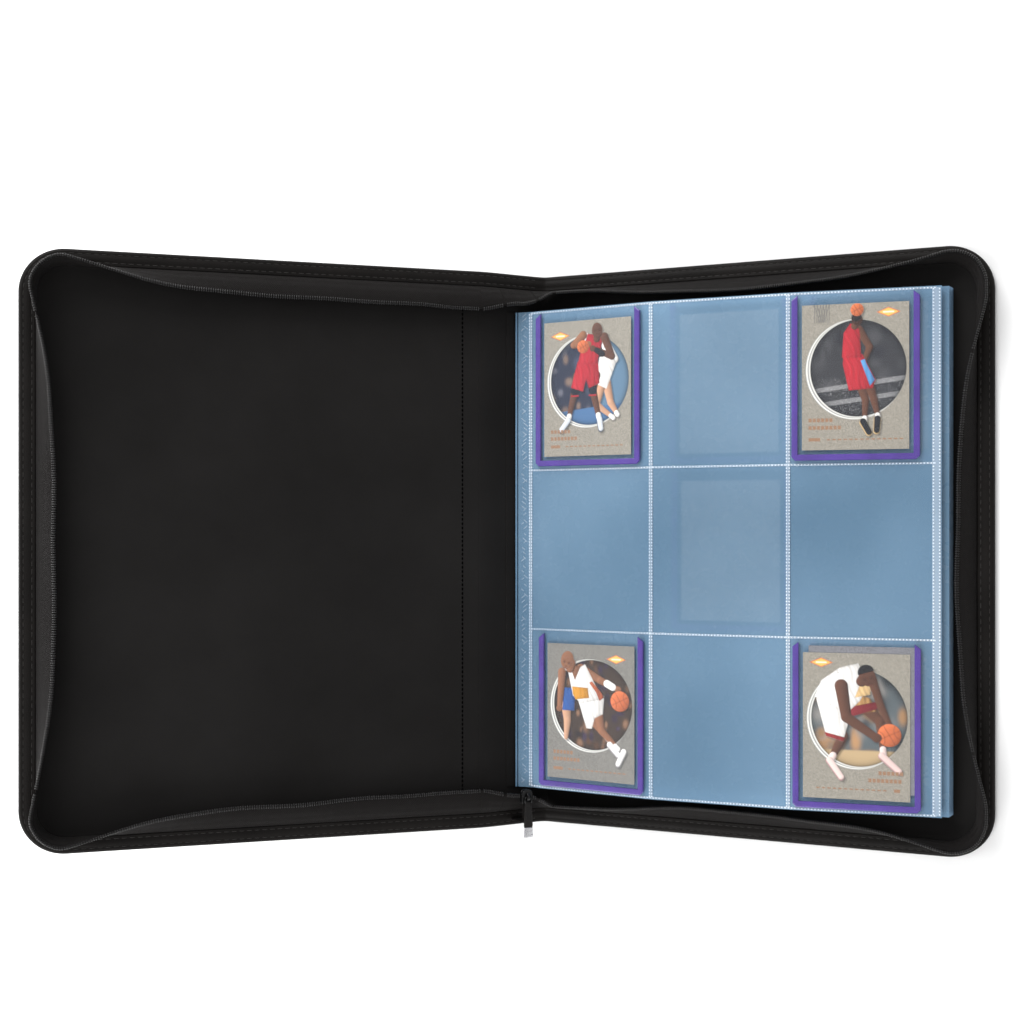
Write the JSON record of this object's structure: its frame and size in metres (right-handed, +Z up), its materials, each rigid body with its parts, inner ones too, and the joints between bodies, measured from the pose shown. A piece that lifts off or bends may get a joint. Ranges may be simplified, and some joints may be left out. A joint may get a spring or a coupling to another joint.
{
  "type": "trading card binder",
  "caption": "Zip-around trading card binder lying open: boards in leatherette, raised spine, clear pocket leaves with rimmed toploaders in the corner pockets.",
  "frame": {"origin": "middle of the back cover's outer face, at table level", "axes": "+X from the spine to the back cover's fore-edge, +Y to the head of the binder, +Z up"},
  "size_m": [0.5473, 0.3782, 0.2425],
  "materials": {
    "leatherette": "fine grained, satin, near black",
    "greyboard": "matte compressed paper board",
    "lining": "smooth dark charcoal lining cloth",
    "zipper_tape": "herringbone woven tape",
    "zipper_coil": "nylon coil, satin",
    "toploader_rim": "glossy coloured plastic",
    "clear_sheet": "clear rigid sheet, glossy",
    "film": "clear flexible film with a bluish cast",
    "card_stock": "printed card with a satin coat",
    "black_metal": "black lacquered metal",
    "tab_leather": "smooth black pull with a bright folded end"
  },
  "bodies": {
    "back_cover": {"back_cover_skin": "leatherette", "back_cover_board": "greyboard", "back_cover_lining": "lining", "back_edge_binding": "leatherette", "back_zipper_tape": "zipper_tape", "back_zipper_coil": "zipper_coil", "fore_edge_patch": "leatherette"},
    "spine": {"spine_skin": "leatherette", "spine_board": "greyboard", "spine_lining": "lining", "spine_end_bindings": "leatherette", "fold_strips": "leatherette", "spine_tape_ends": "zipper_tape", "zipper_tail": "zipper_tape", "page_anchor_strip": "lining"},
    "front_cover": {"front_cover_skin": "leatherette", "front_cover_board": "greyboard", "front_cover_lining": "lining", "front_edge_binding": "leatherette", "front_zipper_tape": "zipper_tape", "front_zipper_coil": "zipper_coil"},
    "bead_1": {"leaf_1_bead": "film"},
    "bead_2": {"leaf_2_bead": "film"},
    "bead_3": {"leaf_3_bead": "film"},
    "bead_4": {"leaf_4_bead": "film"},
    "bead_5": {"leaf_5_bead": "film"},
    "bead_6": {"leaf_6_bead": "film"},
    "bead_7": {"leaf_7_bead": "film"},
    "bead_8": {"leaf_8_bead": "film"},
    "leaf_1": {"leaf_1_back_film": "film", "leaf_1_front_film": "film"},
    "leaf_2": {"leaf_2_back_film": "film", "leaf_2_front_film": "film", "leaf_2_toploader_rims": "toploader_rim", "leaf_2_toploader_sleeves": "clear_sheet", "leaf_2_cards": "card_stock"},
    "leaf_3": {"leaf_3_films": "film"},
    "leaf_4": {"leaf_4_films": "film"},
    "leaf_5": {"leaf_5_films": "film"},
    "leaf_6": {"leaf_6_films": "film"},
    "leaf_7": {"leaf_7_films": "film"},
    "leaf_8": {"leaf_8_films": "film"},
    "upper_left_toploader": {"upper_left_rim": "toploader_rim", "upper_left_sleeve": "clear_sheet", "upper_left_card": "card_stock"},
    "upper_right_toploader": {"upper_right_rim": "toploader_rim", "upper_right_sleeve": "clear_sheet", "upper_right_card": "card_stock"},
    "lower_left_toploader": {"lower_left_rim": "toploader_rim", "lower_left_sleeve": "clear_sheet", "lower_left_card": "card_stock"},
    "lower_right_toploader": {"lower_right_rim": "toploader_rim", "lower_right_sleeve": "clear_sheet", "lower_right_card": "card_stock"},
    "slider": {"zipper_slider": "black_metal"},
    "pull_tab": {"pull_tab": "tab_leather"}
  },
  "joints": [
    {"name": "front_fold", "type": "hinge", "parent": "spine", "child": "front_cover", "pos_m": [-0.17571, 0, 0.03739], "axis": [0, -1, 0], "range_deg": [-101.9, 0], "deforming": ["back_zipper_tape", "back_zipper_coil", "front_zipper_tape", "front_zipper_coil", "fore_edge_patch", "spine_tape_ends"]},
    {"name": "spine_fold", "type": "hinge", "parent": "back_cover", "child": "spine", "pos_m": [-0.1474, 0, 0.0005], "axis": [0, -1, 0], "range_deg": [-37.5, 0]},
    {"name": "bead_1_shift", "type": "slide", "parent": "back_cover", "child": "bead_1", "axis": [1, 0, 0], "range_m": [0, 0.01863]},
    {"name": "bead_2_shift", "type": "slide", "parent": "back_cover", "child": "bead_2", "axis": [1, 0, 0], "range_m": [0, 0.01353]},
    {"name": "bead_3_shift", "type": "slide", "parent": "back_cover", "child": "bead_3", "axis": [1, 0, 0], "range_m": [0, 0.01172]},
    {"name": "bead_4_shift", "type": "slide", "parent": "back_cover", "child": "bead_4", "axis": [1, 0, 0], "range_m": [0, 0.00992]},
    {"name": "bead_5_shift", "type": "slide", "parent": "back_cover", "child": "bead_5", "axis": [1, 0, 0], "range_m": [0, 0.00812]},
    {"name": "bead_6_shift", "type": "slide", "parent": "back_cover", "child": "bead_6", "axis": [1, 0, 0], "range_m": [0, 0.00631]},
    {"name": "bead_7_shift", "type": "slide", "parent": "back_cover", "child": "bead_7", "axis": [1, 0, 0], "range_m": [0, 0.00451]},
    {"name": "bead_8_shift", "type": "slide", "parent": "back_cover", "child": "bead_8", "axis": [1, 0, 0], "range_m": [0, 0.0027]},
    {"name": "leaf_1_turn", "type": "hinge", "parent": "bead_1", "child": "leaf_1", "pos_m": [-0.15732, 0, 0.024], "axis": [0, -1, 0], "range_deg": [0, 120]},
    {"name": "leaf_2_turn", "type": "hinge", "parent": "bead_2", "child": "leaf_2", "pos_m": [-0.1527, 0, 0.01798], "axis": [0, -1, 0], "range_deg": [0, 108]},
    {"name": "leaf_3_turn", "type": "hinge", "parent": "bead_3", "child": "leaf_3", "pos_m": [-0.15107, 0, 0.01585], "axis": [0, -1, 0], "range_deg": [0, 96]},
    {"name": "leaf_4_turn", "type": "hinge", "parent": "bead_4", "child": "leaf_4", "pos_m": [-0.14943, 0, 0.01372], "axis": [0, -1, 0], "range_deg": [0, 84]},
    {"name": "leaf_5_turn", "type": "hinge", "parent": "bead_5", "child": "leaf_5", "pos_m": [-0.1478, 0, 0.01159], "axis": [0, -1, 0], "range_deg": [0, 72]},
    {"name": "leaf_6_turn", "type": "hinge", "parent": "bead_6", "child": "leaf_6", "pos_m": [-0.14616, 0, 0.00946], "axis": [0, -1, 0], "range_deg": [0, 60]},
    {"name": "leaf_7_turn", "type": "hinge", "parent": "bead_7", "child": "leaf_7", "pos_m": [-0.14453, 0, 0.00733], "axis": [0, -1, 0], "range_deg": [0, 48]},
    {"name": "leaf_8_turn", "type": "hinge", "parent": "bead_8", "child": "leaf_8", "pos_m": [-0.14289, 0, 0.0052], "axis": [0, -1, 0], "range_deg": [0, 36]},
    {"name": "upper_left_slide", "type": "slide", "parent": "leaf_1", "child": "upper_left_toploader", "axis": [0.9943, 0, 0.1063], "range_m": [0, 0.004]},
    {"name": "lower_left_slide", "type": "slide", "parent": "leaf_1", "child": "lower_left_toploader", "axis": [0.9943, 0, 0.1063], "range_m": [0, 0.0022]},
    {"name": "upper_right_slide", "type": "slide", "parent": "leaf_1", "child": "upper_right_toploader", "axis": [-0.9925, 0, 0.1219], "range_m": [0, 0.08]},
    {"name": "lower_right_slide", "type": "slide", "parent": "leaf_1", "child": "lower_right_toploader", "axis": [-0.9925, 0, 0.1219], "range_m": [0, 0.08]},
    {"name": "slider_travel", "type": "slide", "parent": "spine", "child": "slider", "axis": [0, -1, 0], "range_m": [0, 0.01]},
    {"name": "pull_tab_swing", "type": "hinge", "parent": "slider", "child": "pull_tab", "pos_m": [-0.14651, -0.1652, 0.02923], "axis": [-0.6088, 0, 0.7934], "range_deg": [0, 95]}
  ],
  "couplings": [
    {"joint": "spine_fold", "follows": "front_fold", "ratio": 0.36801},
    {"joint": "bead_1_shift", "follows": "front_fold", "m_per_rad": -0.01047},
    {"joint": "bead_2_shift", "follows": "front_fold", "m_per_rad": -0.0076044},
    {"joint": "bead_3_shift", "follows": "front_fold", "m_per_rad": -0.0065895},
    {"joint": "bead_4_shift", "follows": "front_fold", "m_per_rad": -0.0055746},
    {"joint": "bead_5_shift", "follows": "front_fold", "m_per_rad": -0.0045598},
    {"joint": "bead_6_shift", "follows": "front_fold", "m_per_rad": -0.0035449},
    {"joint": "bead_7_shift", "follows": "front_fold", "m_per_rad": -0.0025301},
    {"joint": "bead_8_shift", "follows": "front_fold", "m_per_rad": -0.0015152},
    {"joint": "leaf_2_turn", "follows": "leaf_1_turn", "ratio": 0.9},
    {"joint": "leaf_3_turn", "follows": "leaf_1_turn", "ratio": 0.8},
    {"joint": "leaf_4_turn", "follows": "leaf_1_turn", "ratio": 0.7},
    {"joint": "leaf_5_turn", "follows": "leaf_1_turn", "ratio": 0.6},
    {"joint": "leaf_6_turn", "follows": "leaf_1_turn", "ratio": 0.5},
    {"joint": "leaf_7_turn", "follows": "leaf_1_turn", "ratio": 0.4},
    {"joint": "leaf_8_turn", "follows": "leaf_1_turn", "ratio": 0.3}
  ]
}
